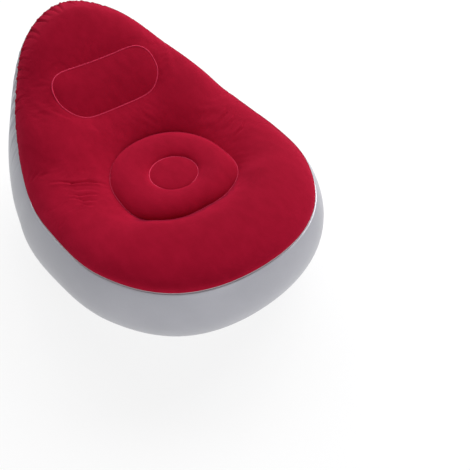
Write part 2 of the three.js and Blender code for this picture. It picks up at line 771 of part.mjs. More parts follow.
// The cap: a stopper on a disc, with a tongue to its hinge pin and a tab to lift it by
function capGeometry() {
  const low = mouthTop + gap;
  const disc = lathe([
    [0, low - stopperLength],
    [stopperTip, low - stopperLength],
    [stopperTop, low],
    [capRadius, low],
    [capRadius, low + capThickness],
    [0, low + capThickness],
  ]);
  const tab = new THREE.BoxGeometry(tabLength, tabWidth, capThickness / 2);
  tab.translate(capRadius + tabLength / 2 - capThickness, 0, low + capThickness / 2);
  const tongueLength = hingeOut - capRadius + 1.5 * capThickness;
  const tongue = new THREE.BoxGeometry(tongueLength, capTongueWidth, capThickness);
  tongue.translate(-hingeOut + (tongueLength - capThickness) / 2, 0, hingeUp);
  const pin = new THREE.CylinderGeometry(hingePinRadius, hingePinRadius, hingePinLength, 12);
  pin.translate(-hingeOut, 0, hingeUp);
  const body = solid(disc).add(solid(tab)).add(solid(tongue)).add(solid(pin));
  return fromSolid(body);
}

// The strap that keeps the plug with the chair, a flat bow beside the neck
function strapGeometry() {
  const low = gap + flangeThickness + gap;
  const inner = neckRadius + 2 * gap;
  const outer = inner + strapThickness;
  const shape = new THREE.Shape();
  shape.absarc(0, 0, outer, rad(-strapSpread), rad(strapSpread), false);
  shape.absarc(0, 0, inner, rad(strapSpread), rad(-strapSpread), true);
  const height = plugRimLow - gap - low;
  const band = new THREE.ExtrudeGeometry(shape, { depth: height, bevelEnabled: false, curveSegments: 10 });
  return band.translate(0, 0, low);
}

function valveFrame(wall) {
  const middle = (valveLowHeight + valveHighHeight) / 2;
  const start = new THREE.Vector3(0, 0, middle);
  const hits = new THREE.Raycaster(start, backward).intersectObject(wall);
  const face = hits[hits.length - 1];
  const frame = new THREE.Group();
  frame.position.copy(face.point);
  const across = new THREE.Vector3(-1, 0, 0);
  const upward = new THREE.Vector3().crossVectors(face.face.normal, across);
  frame.setRotationFromMatrix(new THREE.Matrix4().makeBasis(across, upward, face.face.normal));
  frame.updateMatrixWorld(true);
  return frame;
}

function buildChair() {
  add(chair, 'top_panel', topPanelGeometry(), flocked);
  const wallBlank = new THREE.Mesh(wallPanelGeometry(), new THREE.MeshBasicMaterial({ side: THREE.DoubleSide }));
  const valve = valveFrame(wallBlank);
  const hole = new THREE.CylinderGeometry(neckRadius + gap, neckRadius + gap, 4 * neckInside, radialSteps);
  hole.rotateX(Math.PI / 2).applyMatrix4(valve.matrixWorld);
  add(chair, 'side_wall', fromSolid(solid(wallBlank.geometry).subtract(solid(hole))), silver);
  add(chair, 'base_panel', basePanelGeometry(), silver);
  add(chair, 'seat_ring_web', seatWeb(seatWeldLoops), webVinyl);
  add(chair, 'seat_centre_tube', seatWeb(roundWeldLoops), webVinyl);
  add(chair, 'headrest_web', headrestWeb(wallBlank), webVinyl);
  add(chair, 'seat_ring_weld', weldLine(seatWeldLoops), flockedWeld);
  add(chair, 'seat_centre_weld', weldLine(roundWeldLoops), flockedWeld);
  add(chair, 'headrest_weld', weldLine(headrestLoops), flockedWeld);
  add(chair, 'rim_weld', bead(rimPoints, beadSides), silverWeld);
  add(chair, 'base_weld', bead(basePoints, beadSides), silverWeld);
  chair.add(valve);
  add(valve, 'valve_flange', flangeGeometry(), valveVinyl);
  add(valve, 'valve_plug', plugGeometry(), valvePlastic);
  add(valve, 'valve_seal', sealGeometry(), rubber);
  add(valve, 'valve_flap', flapGeometry(), rubber);
  add(valve, 'valve_cap', capGeometry(), valvePlastic);
  add(valve, 'plug_strap', strapGeometry(), valveVinyl);
}

buildChair();

export default chair;
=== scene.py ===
import math

import bmesh
import bpy
import numpy as np
from mathutils import Matrix, Vector
from mathutils.geometry import delaunay_2d_cdt


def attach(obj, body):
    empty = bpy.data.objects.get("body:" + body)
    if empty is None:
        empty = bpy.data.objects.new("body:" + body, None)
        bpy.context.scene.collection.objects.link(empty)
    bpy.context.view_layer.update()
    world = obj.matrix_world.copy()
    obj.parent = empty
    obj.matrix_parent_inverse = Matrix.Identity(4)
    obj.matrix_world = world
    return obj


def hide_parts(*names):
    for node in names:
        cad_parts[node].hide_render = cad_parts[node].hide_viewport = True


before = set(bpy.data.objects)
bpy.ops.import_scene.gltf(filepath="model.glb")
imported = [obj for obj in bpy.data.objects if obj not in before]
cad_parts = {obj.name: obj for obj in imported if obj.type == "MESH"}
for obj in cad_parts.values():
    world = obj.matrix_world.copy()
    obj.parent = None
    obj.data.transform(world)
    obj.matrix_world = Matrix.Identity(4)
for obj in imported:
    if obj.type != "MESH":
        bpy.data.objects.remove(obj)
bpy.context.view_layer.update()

mm = 0.001

# The chair's main sizes, as in its solids. A bearing is in degrees round the seat centre, from 0 at the
# front to 180 at the back, and the two sides are alike.
SEAT_CENTRE_Y = -138.9 * mm
RIM_REACH = 687 * mm
RIM_HEIGHT = 645 * mm
SEAT_WELD_HEIGHT = 318 * mm
SHEET = 1 * mm
VINYL = 0.5 * mm
GAP = 0.3 * mm

# The rim, where the sheet meets the wall: shares of its reach and of its height
RIM_BEARINGS = [0, 30, 60, 90, 120, 135, 150, 165, 180]
RIM_OUT = [0.701, 0.699, 0.652, 0.627, 0.702, 0.78, 0.878, 0.97, 1]
RIM_UP = [0.51, 0.503, 0.495, 0.48, 0.457, 0.521, 0.683, 0.906, 1]

# The ridge stands in from the rim and above it. The slope from the seat weld up to the ridge is led
# through a lower and an upper line, at shares of its width and of its rise.
SOFT_BEARINGS = [0, 45, 90, 120, 135, 150, 157, 165, 180]
RIDGE_IN = [0.26, 0.25, 0.235, 0.25, 0.195, 0.14, 0.137, 0.125, 0.115]
RIDGE_RISE = [0.108, 0.112, 0.086, 0.136, 0.163, 0.089, 0.063, 0.038, 0.02]
ROLL_TURN = math.radians(96)
LOWER_OUT = [0.35, 0.38, 0.4, 0.4, 0.4, 0.4, 0.4, 0.4, 0.4]
LOWER_UP = [0.55, 0.55, 0.5, 0.47, 0.45, 0.4, 0.38, 0.36, 0.35]
UPPER_OUT = [0.68, 0.68, 0.7, 0.7, 0.7, 0.7, 0.7, 0.7, 0.7]
UPPER_UP = [0.9, 0.9, 0.88, 0.87, 0.84, 0.78, 0.76, 0.73, 0.72]
CREASE_SLOPE = 1.5

# The seat: its egg-shaped weld, the puffed ring inside that, and the round weld in the middle
SEAT_WELD_BEARINGS = [0, 30, 60, 90, 120, 150, 180]
SEAT_WELD_REACH = 227 * mm
SEAT_WELD = [0.811, 0.872, 0.943, 0.898, 0.932, 0.989, 1]
SEAT_PUFF = 30 * mm
ROUND_WELD_RADIUS = 82 * mm
ROUND_WELD_RISE = 12 * mm
ROUND_PUFF = 9 * mm

# The headrest
HEADREST_WIDTH = 387 * mm
HEADREST_HEIGHT = 176 * mm
HEADREST_CORNER = 78 * mm
HEADREST_CENTRE_Y = SEAT_CENTRE_Y + 0.59 * RIM_REACH
HEADREST_DEPTH = 6 * mm
HEADREST_PUFF = 8 * mm
CREASE_HALF = 9 * mm

# The wall, and the lines of its welds
WALL_IN_FRONT = 92 * mm
WALL_OUT_BACK = 51 * mm
WALL_BULGE = 71 * mm
BULGE_POWER = 0.7
BEAD_RADIUS = 1.4 * mm
WELD_LINE_RADIUS = 2.1 * mm
WELD_LINE_PROUD = 0.7 * mm


# Curves through the tables
def curve_through(knots, values, at):
    """A smooth curve through the values, flat at both ends."""
    knots, values = np.asarray(knots, float), np.asarray(values, float)
    at = np.clip(at, knots[0], knots[-1])
    i = np.clip(np.searchsorted(knots, at, side="left") - 1, 0, len(knots) - 2)
    slope = np.zeros(len(knots))
    slope[1:-1] = (values[2:] - values[:-2]) / (knots[2:] - knots[:-2])
    span = knots[i + 1] - knots[i]
    t = (at - knots[i]) / span
    keep = 1 - t
    ends = values[i] * (1 + 2 * t) * keep**2 + values[i + 1] * (3 - 2 * t) * t**2
    return ends + span * t * keep * (slope[i] * keep - slope[i + 1] * t)


def slope_profile(t, lower_out, lower_up, upper_out, upper_up, first):
    """The slope's share of its rise, at a share t of its width, through its two lines."""
    x = np.stack([0 * t, lower_out, upper_out, 1 + 0 * t])
    y = np.stack([0 * t, lower_up, upper_up, 1 + 0 * t])
    m = np.stack([first, upper_up / upper_out, (1 - lower_up) / (1 - lower_out), 0 * t])
    t = np.clip(t, 0, 1)
    i = np.clip((t > x[1]).astype(int) + (t > x[2]).astype(int), 0, 2)
    n = np.arange(len(t))
    span = x[i + 1, n] - x[i, n]
    s = (t - x[i, n]) / span
    keep = 1 - s
    ends = y[i, n] * (1 + 2 * s) * keep**2 + y[i + 1, n] * (3 - 2 * s) * s**2
    return ends + span * s * keep * (m[i, n] * keep - m[i + 1, n] * s)


def folded(bearing):
    """The bearing counted from the front, the same on both sides."""
    return np.abs((np.asarray(bearing, float) + 180) % 360 - 180)


def on_rim(shares, bearing):
    return curve_through(RIM_BEARINGS, shares, folded(bearing))


def on_soft(shares, bearing):
    return curve_through(SOFT_BEARINGS, shares, folded(bearing))


def rim_out(b):
    return RIM_REACH * on_rim(RIM_OUT, b)


def rim_up(b):
    return RIM_HEIGHT * on_rim(RIM_UP, b)


def ridge_out(b):
    return rim_out(b) - RIM_REACH * on_soft(RIDGE_IN, b)


def ridge_up(b):
    return rim_up(b) + RIM_HEIGHT * on_soft(RIDGE_RISE, b)


def seat_weld_out(b):
    return SEAT_WELD_REACH * curve_through(SEAT_WELD_BEARINGS, SEAT_WELD, folded(b))


def place(bearing, out, up):
    """The point at a bearing, a way out from the seat centre and a height."""
    turn = np.radians(bearing)
    return np.stack([out * np.sin(turn), SEAT_CENTRE_Y - out * np.cos(turn), up + 0 * turn], -1)


def slope_height(bearing, out):
    """The height of the slope between the seat weld and the ridge."""
    weld = seat_weld_out(bearing)
    width = ridge_out(bearing) - weld
    rise = ridge_up(bearing) - SEAT_WELD_HEIGHT
    lines = [on_soft(s, bearing) for s in (LOWER_OUT, LOWER_UP, UPPER_OUT, UPPER_UP)]
    first = np.minimum(CREASE_SLOPE * width / rise, 3 * lines[1] / lines[0])
    return SEAT_WELD_HEIGHT + rise * slope_profile((out - weld) / width, *lines, first)


def top_height(x, y):
    """The height of the whole top sheet inside its ridge."""
    dy = y - SEAT_CENTRE_Y
    out = np.hypot(x, dy)
    bearing = np.degrees(np.arctan2(x, -dy))
    weld = seat_weld_out(bearing)
    across = np.clip((out - ROUND_WELD_RADIUS) / (weld - ROUND_WELD_RADIUS), 0, 1)
    puff = SEAT_PUFF * np.sqrt(np.sin(np.pi * across).clip(0))
    round_puff = ROUND_PUFF * np.sqrt((1 - (out / ROUND_WELD_RADIUS) ** 2).clip(0))
    swell = np.where(out >= ROUND_WELD_RADIUS, puff, round_puff)
    inner = SEAT_WELD_HEIGHT + ROUND_WELD_RISE * (1 - across) + swell
    return np.where(out >= weld, slope_height(bearing, np.maximum(out, weld)), inner)


# Behind the seat centre the top sheet is laid out flat by its length along the centre line
LAY_STEP = 4 * mm
_out = np.arange(0, RIM_REACH + LAY_STEP / 2, LAY_STEP)
_back = np.full(len(_out), 180.0)
_rise = np.where(_out > seat_weld_out(180), np.diff(slope_height(_back, _out), prepend=SEAT_WELD_HEIGHT), 0)
LAY_Y = SEAT_CENTRE_Y + _out
LAY_LENGTH = SEAT_CENTRE_Y + np.cumsum(np.where(_out > 0, np.hypot(LAY_STEP, _rise), 0))


def laid(y):
    return np.where(y <= SEAT_CENTRE_Y, y, np.interp(y, LAY_Y, LAY_LENGTH))


def unlaid(length):
    return np.where(length <= SEAT_CENTRE_Y, length, np.interp(length, LAY_LENGTH, LAY_Y))


HEADREST_MIDDLE = float(laid(np.array(HEADREST_CENTRE_Y)))


def past_headrest(x, v):
    """How far a laid-out point stands outside the headrest's weld."""
    dx = np.abs(x) - HEADREST_WIDTH / 2 + HEADREST_CORNER
    dv = np.abs(v - HEADREST_MIDDLE) - HEADREST_HEIGHT / 2 + HEADREST_CORNER
    outside = np.hypot(dx.clip(0), dv.clip(0))
    return outside + np.minimum(np.maximum(dx, dv), 0) - HEADREST_CORNER


def top_point(x, v):
    """A point of the top sheet, from its laid-out place, before the headrest is pressed in."""
    y = unlaid(v)
    return np.stack([x, y, top_height(x, y)], -1)


# The bearings between which the high rim begins to be gathered, and those of the folded flank
PUCKER_FROM, PUCKER_FULL = 126, 150
FLANK_FROM, FLANK_FULL, FLANK_LESS, FLANK_END = 86, 93, 115, 122

# How much closer together the columns of points stand there
CLOSER_GATHERED, CLOSER_FOLDED = 1.9, 1.5


def smoothstep(low, high, value):
    """0 at the low value and 1 at the high one, with soft ends."""
    t = np.clip((value - low) / (high - low), 0, 1)
    return t * t * (3 - 2 * t)


def in_pucker_zone(bearing):
    return smoothstep(PUCKER_FROM, PUCKER_FULL, folded(bearing))


# The run along the rim, measured at every twentieth of a degree
FINE_BEARINGS = np.linspace(0, 360, 7201)
_line = place(FINE_BEARINGS, rim_out(FINE_BEARINGS), 0)
_line[:, 2] = rim_up(FINE_BEARINGS)
_steps = np.linalg.norm(np.diff(_line, axis=0), axis=1)
RIM_RUN = np.concatenate([[0], np.cumsum(_steps)])


def rim_columns(count):
    """Bearings an even way apart along the rim, and closer together where the sheet puckers or folds."""
    turned = folded(FINE_BEARINGS[:-1])
    flank = smoothstep(FLANK_FROM, FLANK_FULL, turned) * smoothstep(FLANK_END, FLANK_LESS, turned)
    weighed = _steps * (1 + CLOSER_GATHERED * in_pucker_zone(turned) + CLOSER_FOLDED * flank)
    run = np.concatenate([[0], np.cumsum(weighed)])
    return np.interp((np.arange(count) + 0.5) * run[-1] / count, run, FINE_BEARINGS)


COLUMNS = 1200
BEARINGS = rim_columns(COLUMNS)


# Loops on the laid-out sheet
def ring(count, out_at):
    """A laid-out loop round the seat centre."""
    b = np.arange(count) * 360 / count
    p = place(b, out_at(b), 0)
    return np.stack([p[:, 0], laid(p[:, 1])], -1)


def spaced(loop, count):
    """The same loop with its points an even way apart."""
    closed = np.vstack([loop, loop[:1]])
    run = np.concatenate([[0], np.cumsum(np.linalg.norm(np.diff(closed, axis=0), axis=1))])
    at = np.arange(count) * run[-1] / count
    return np.stack([np.interp(at, run, closed[:, k]) for k in range(2)], -1)


def headrest_loop(count):
    """The headrest's weld: a rectangle with round corners."""
    corners = []
    half_w, half_h = HEADREST_WIDTH / 2 - HEADREST_CORNER, HEADREST_HEIGHT / 2 - HEADREST_CORNER
    for sx, sv, start in ((1, 1, 0), (-1, 1, 90), (-1, -1, 180), (1, -1, 270)):
        a = np.radians(np.linspace(start, start + 90, 60))
        x = sx * half_w + HEADREST_CORNER * np.cos(a)
        corners.append(np.stack([x, sv * half_h + HEADREST_CORNER * np.sin(a)], -1))
    loop = np.vstack(corners)
    loop[:, 1] += HEADREST_MIDDLE
    return spaced(loop, count)


def grown(loop, way):
    """The loop set outwards by a way."""
    run = np.roll(loop, -1, 0) - np.roll(loop, 1, 0)
    run /= np.linalg.norm(run, axis=1)[:, None]
    return loop + way * np.stack([run[:, 1], -run[:, 0]], -1)


def inside(loop, p):
    """Which points lie inside the loop."""
    a, b = loop, np.roll(loop, -1, 0)
    count = np.zeros(len(p), int)
    for (ax, av), (bx, bv) in zip(a, b):
        cross = (av > p[:, 1]) != (bv > p[:, 1])
        hit = cross & (p[:, 0] < ax + (p[:, 1] - av) / (bv - av + 1e-12) * (bx - ax))
        count += hit
    return count % 2 == 1


SEAT_LOOP = spaced(ring(720, seat_weld_out), 300)
ROUND_LOOP = ring(120, lambda b: ROUND_WELD_RADIUS + 0 * b)
HEAD_LOOP = headrest_loop(230)
_ridge = place(BEARINGS, ridge_out(BEARINGS), 0)
RIDGE_LOOP = np.stack([_ridge[:, 0], laid(_ridge[:, 1])], -1)

# The flanks of the seat are drawn into fine folds beside the seat weld: laid-out points from the bolster
# to the weld, depth, and half the width of the fold
FOLDS = [
    ([(-0.364, -0.007), (-0.319, -0.018), (-0.285, -0.023), (-0.252, -0.032), (-0.203, -0.051)], 6.0, 4.2),
    ([(-0.328, -0.066), (-0.295, -0.075), (-0.265, -0.083), (-0.235, -0.099)], 3.8, 3.8),
    ([(-0.331, -0.081), (-0.301, -0.092), (-0.271, -0.103), (-0.246, -0.120)], 3.6, 3.8),
    ([(-0.309, -0.110), (-0.283, -0.120), (-0.258, -0.131)], 2.6, 3.6),
    ([(-0.331, -0.038), (-0.296, -0.047), (-0.260, -0.060), (-0.235, -0.078)], 1.6, 4.2),
    ([(0.323, -0.017), (0.276, -0.035), (0.244, -0.051)], 5.0, 4.2),
    ([(0.346, -0.047), (0.287, -0.067), (0.250, -0.083)], 4.6, 4.2),
    ([(0.333, -0.106), (0.275, -0.121), (0.244, -0.131)], 5.2, 4.2),
]


def fold_line(points):
    """A fold's points every few millimetres, on a smooth curve, with the way square to it."""
    p = np.array(points)
    run = np.concatenate([[0], np.cumsum(np.linalg.norm(np.diff(p, axis=0), axis=1))])
    at = np.linspace(0, run[-1], max(8, int(run[-1] / (4 * mm))))
    curve = np.polynomial.polynomial.Polynomial.fit
    line = np.stack([curve(run, p[:, k], min(3, len(p) - 1))(at) for k in range(2)], -1)
    way = np.gradient(line, axis=0)
    way /= np.linalg.norm(way, axis=1)[:, None]
    return line, np.stack([-way[:, 1], way[:, 0]], -1)


FOLD_LINES = [(*fold_line(points), depth * mm, half * mm) for points, depth, half in FOLDS]

# Rows of points beside each weld and each fold, and the step of the points between
CREASE_OFFSETS = np.array([-16, -11, -7, -4, -1.8, 0, 1.8, 4, 7, 11, 16]) * mm
FOLD_OFFSETS = np.array([-13, -10, -7.5, -5, -2.5, 0, 2.5, 5, 7.5, 10, 13]) * mm
STEP = 6 * mm
CLEAR = 3 * mm


def loose_from(p, fixed, way):
    """Which points stand at least a given way from all the fixed ones."""
    cells = {}
    for q in fixed:
        cells.setdefault((int(q[0] // way), int(q[1] // way)), []).append(q)
    out = np.ones(len(p), bool)
    for k, (x, v) in enumerate(p):
        cx, cv = int(x // way), int(v // way)
        close = (q for i in (-1, 0, 1) for j in (-1, 0, 1) for q in cells.get((cx + i, cv + j), ()))
        out[k] = all((x - q[0]) ** 2 + (v - q[1]) ** 2 > way * way for q in close)
    return out


def make_layout():
    """The laid-out points: the ridge, rows beside the welds and folds, an inner edge, and a grid."""
    loops = []
    for loop in (SEAT_LOOP, HEAD_LOOP):
        loops += [grown(loop, w) for w in CREASE_OFFSETS]
    loops += [grown(ROUND_LOOP, w) for w in CREASE_OFFSETS[1:-1]]
    welds = np.vstack(loops)
    folds = np.vstack([line + w * square for line, square, _, _ in FOLD_LINES for w in FOLD_OFFSETS])
    folds = folds[inside(grown(RIDGE_LOOP, -CLEAR), folds)]
    kept = []
    for p in folds[loose_from(folds, welds, CLEAR)]:
        if all((p[0] - q[0]) ** 2 + (p[1] - q[1]) ** 2 > (1.6 * mm) ** 2 for q in kept):
            kept.append(p)
    fixed = np.vstack([welds, kept])
    edge = grown(RIDGE_LOOP, -4 * mm)
    edge = spaced(edge, int(len(edge) * 0.62))
    fixed = np.vstack([fixed, edge[loose_from(edge, fixed, CLEAR)]])
    low, high = RIDGE_LOOP.min(0), RIDGE_LOOP.max(0)
    rows = np.arange(low[1], high[1], STEP * math.sqrt(3) / 2)
    columns = np.arange(low[0] - STEP, high[0] + STEP, STEP)
    grid = np.array([(x + (STEP / 2 if r % 2 else 0), v) for r, v in enumerate(rows) for x in columns])
    grid = grid[inside(grown(RIDGE_LOOP, -8 * mm), grid)]
    grid = grid[loose_from(grid, fixed, 0.7 * STEP)]

    # A hair's nudge keeps the triangles between evenly spaced points from being a matter of chance
    k = np.arange(len(fixed) + len(grid))
    nudge = 0.02 * mm * np.stack([np.sin(k * k % 977), np.cos(k * k % 983)], -1)
    return np.vstack([RIDGE_LOOP, np.vstack([fixed, grid]) + nudge])


def triangles_of(places):
    """Triangles between the laid-out points, inside the ridge."""
    edges = [(k, (k + 1) % COLUMNS) for k in range(COLUMNS)]
    corners = [Vector(p) for p in places]
    _, _, faces, orig, _, _ = delaunay_2d_cdt(corners, edges, [], 1, 1e-9, True)
    order = {k: source[0] for k, source in enumerate(orig) if source}
    out = np.array([[order[c] for c in f] for f in faces if len(f) == 3 and all(c in order for c in f)])
    return out[inside(RIDGE_LOOP, places[out].mean(1))]


# Making meshes
def mesh_object(name, verts, faces, smooth=True):
    mesh = bpy.data.meshes.new(name)
    mesh.from_pydata([tuple(v) for v in verts], [], [tuple(int(i) for i in f) for f in faces])
    mesh.validate()
    mesh.polygons.foreach_set("use_smooth", [smooth] * len(mesh.polygons))
    mesh.update()
    obj = bpy.data.objects.new(name, mesh)
    bpy.context.scene.collection.objects.link(obj)
    return obj


def vertex_normals(verts, tris):
    face = np.cross(verts[tris[:, 1]] - verts[tris[:, 0]], verts[tris[:, 2]] - verts[tris[:, 0]])
    n = np.zeros_like(verts)
    for corner in range(3):
        for axis in range(3):
            n[:, axis] += np.bincount(tris[:, corner], face[:, axis], len(verts))
    return n / np.linalg.norm(n, axis=1)[:, None].clip(1e-12)


def edges_of(tris):
    """Each edge of the triangles, once."""
    e = np.vstack([tris[:, [0, 1]], tris[:, [1, 2]], tris[:, [2, 0]]])
    return np.unique(np.sort(e, 1), axis=0)


def settled(verts, tris, edges, weight, passes, lift):
    """Each point goes towards the middle of its neighbours, and out by the push of the air."""
    loose = weight > 0
    used = edges[loose[edges].any(1)]
    a, b = np.concatenate([used[:, 0], used[:, 1]]), np.concatenate([used[:, 1], used[:, 0]])
    count = np.bincount(a, minlength=len(verts)).clip(1)
    out = verts.copy()
    for turn in range(passes):
        if turn % 25 == 0:
            push = (lift * weight)[:, None] * vertex_normals(out, tris)
        middle = np.stack([np.bincount(a, out[b, k], len(verts)) for k in range(3)], -1) / count[:, None]
        out += (0.5 * weight)[:, None] * (middle - out) + push
    return out


def band(above, below):
    """Triangles between a closed row of points and the row below it."""
    above_next, below_next = np.roll(above, -1), np.roll(below, -1)
    return [
        np.stack([above, below, below_next], -1),
        np.stack([above, below_next, above_next], -1),
    ]


def closed_sheet(name, verts, tris, thickness, edge_loops):
    """The outer face, its copy set in by the thickness, and strips along the edges."""
    inner = verts - thickness * vertex_normals(verts, tris)
    n = len(verts)
    strips = []
    for loop in edge_loops:
        loop = np.asarray(loop)
        nxt = np.roll(loop, -1)
        strips.append(np.stack([nxt, loop, loop + n], -1))
        strips.append(np.stack([nxt, loop + n, nxt + n], -1))
    return mesh_object(name, np.vstack([verts, inner]), np.vstack([tris, tris[:, ::-1] + n, *strips]))


# The gathers along the high part of the rim
def rim_gathers():
    """Each gather's place along the rim, lean, depth, length and half width."""
    rng = np.random.default_rng(11)
    start, end = np.interp([PUCKER_FROM, 360 - PUCKER_FROM], FINE_BEARINGS, RIM_RUN)
    gathers, at, since = [], start, 0
    while at < end:
        strong = since > 0 and rng.random() < 0.6
        since = 0 if strong else since + 1
        depth = rng.uniform(5.5, 8.0) if strong else rng.uniform(1.8, 3.6)
        length = rng.uniform(70, 105) if strong else rng.uniform(34, 56)
        half = rng.uniform(7.5, 10.5) if strong else rng.uniform(5, 7)
        gathers.append((at, rng.uniform(-0.25, 0.25), depth * mm, length * mm, half * mm))
        at += rng.uniform(13, 21) * mm
    return np.array(gathers)


GATHERS = rim_gathers()

# On the right side of the back they are this much shorter and shallower
SHORTER_RIGHT = 0.42


def gathered(bearing, away, depth_share=1.0, length_share=1.0):
    """How far the sheet is drawn in by the gathers, at a way from the rim."""
    run = np.interp(bearing, FINE_BEARINGS, RIM_RUN)
    short = 1 - SHORTER_RIGHT * smoothstep(181, 168, bearing)
    drawn = np.zeros(len(run))
    for at, lean, depth, length, half in GATHERS:
        near = np.abs(run - at) < 0.08
        off = (run[near] - at - lean * away[near]) / half
        run_out = (1 - away[near] / (length * length_share * short[near])).clip(0, 1) ** 1.1

        # A sharp groove, with the sheet a little fuller on one side of it
        groove = (1 - np.abs(off)).clip(0) ** 1.6
        beside = 0.4 * np.exp(-((off + 1.2) ** 2) / 0.35)
        drawn[near] += depth_share * depth * run_out * (groove - beside)
    return drawn * smoothstep(0, 5 * mm, away) * in_pucker_zone(bearing) * short


def folded_in(places):
    """How far the flanks of the seat are drawn in by their folds."""
    drawn = np.zeros(len(places))
    for line, square, depth, half in FOLD_LINES:
        near = np.where(np.linalg.norm(places - line.mean(0), axis=1) < 0.16)[0]
        gap = places[near, None] - line[None]
        nearest = np.linalg.norm(gap, axis=2).argmin(1)
        at = (gap[np.arange(len(near)), nearest] * square[nearest]).sum(1) / half
        along = np.linalg.norm(gap[np.arange(len(near)), nearest], axis=1)
        ends = np.sin(np.pi * (nearest + 0.5) / len(line)) ** 0.45
        past_end = (along / half - np.abs(at)).clip(0)

        # A soft groove, with the sheet a little fuller along one side of it
        fold = np.exp(-(at**2)) - 0.7 * np.exp(-((at + 1.9) ** 2) / 1.4)
        drawn[near] += depth * ends * fold * np.exp(-(past_end**2))
    return drawn


# The air in the sheet, as a short cloth simulation: how many frames it runs, how hard it pushes, how
# much larger the sheet is than its place, and the furthest that a point moves
AIR_FRAMES = 12
AIR_PRESSURE = 4
AIR_STRETCH = 0.0035
AIR_REACH = 6 * mm
HOLD_LEVELS = 20
HELD_LOOSELY, HELD_HALF = 0.05, 0.5


def blown(verts, tris, hold, share):
    """The sheet after the air has pushed it for a moment, held where it is welded."""
    sheet = mesh_object("air", verts, tris)
    group = sheet.vertex_groups.new(name="hold")
    level = np.round(hold * HOLD_LEVELS).astype(int)
    for k in range(1, HOLD_LEVELS + 1):
        group.add(np.where(level == k)[0].tolist(), k / HOLD_LEVELS, "REPLACE")
    modifier = sheet.modifiers.new("air", "CLOTH")
    cloth = modifier.settings
    cloth.quality = 5
    cloth.mass = 0.3
    cloth.vertex_group_mass = "hold"
    cloth.pin_stiffness = 1
    cloth.tension_stiffness = cloth.compression_stiffness = 20
    cloth.shear_stiffness = 8
    cloth.bending_stiffness = 1.5
    cloth.shrink_min = -AIR_STRETCH
    cloth.use_pressure = True
    cloth.uniform_pressure_force = AIR_PRESSURE
    cloth.effector_weights.gravity = 0
    modifier.point_cache.frame_start, modifier.point_cache.frame_end = 1, AIR_FRAMES
    for number in range(1, AIR_FRAMES + 1):
        bpy.context.scene.frame_set(number)
    after = np.zeros(3 * len(verts))
    sheet.evaluated_get(bpy.context.evaluated_depsgraph_get()).data.vertices.foreach_get("co", after)
    bpy.context.scene.frame_set(1)
    bpy.data.objects.remove(sheet)
    moved = after.reshape(-1, 3) - verts
    far = np.linalg.norm(moved, axis=1)
    return verts + moved * (share * AIR_REACH * np.tanh(far / AIR_REACH) / far.clip(1e-9))[:, None]


# The flocked top sheet
ROLL_ROWS = 26
SETTLE_PASSES = 420
SETTLE_LIFT = 0.02 * mm
FAR_OFF = 1.0
ON_WELD = 1.2 * mm

# How much fuller than its arc the roll stands, at each bearing
FULL_BEARINGS = [0, 100, 112, 120, 128, 137, 145, 155, 165, 180]
FULLER = [0, 0, 4, 9, 6, -1, -4, -7, -12, -3]


def roll_point(bearing, turn):
    """A point of the padded roll, turned over from the ridge down to the rim."""
    across = (rim_out(bearing) - ridge_out(bearing)) / math.sin(ROLL_TURN)
    drop = (ridge_up(bearing) - rim_up(bearing)) / (1 - math.cos(ROLL_TURN))
    fuller = mm * curve_through(FULL_BEARINGS, FULLER, folded(bearing)) * math.sin(math.pi * turn / ROLL_TURN)
    out = ridge_out(bearing) + across * np.sin(turn) + fuller
    point = place(bearing, out, 0)
    point[:, 2] = ridge_up(bearing) - drop * (1 - np.cos(turn))
    return point


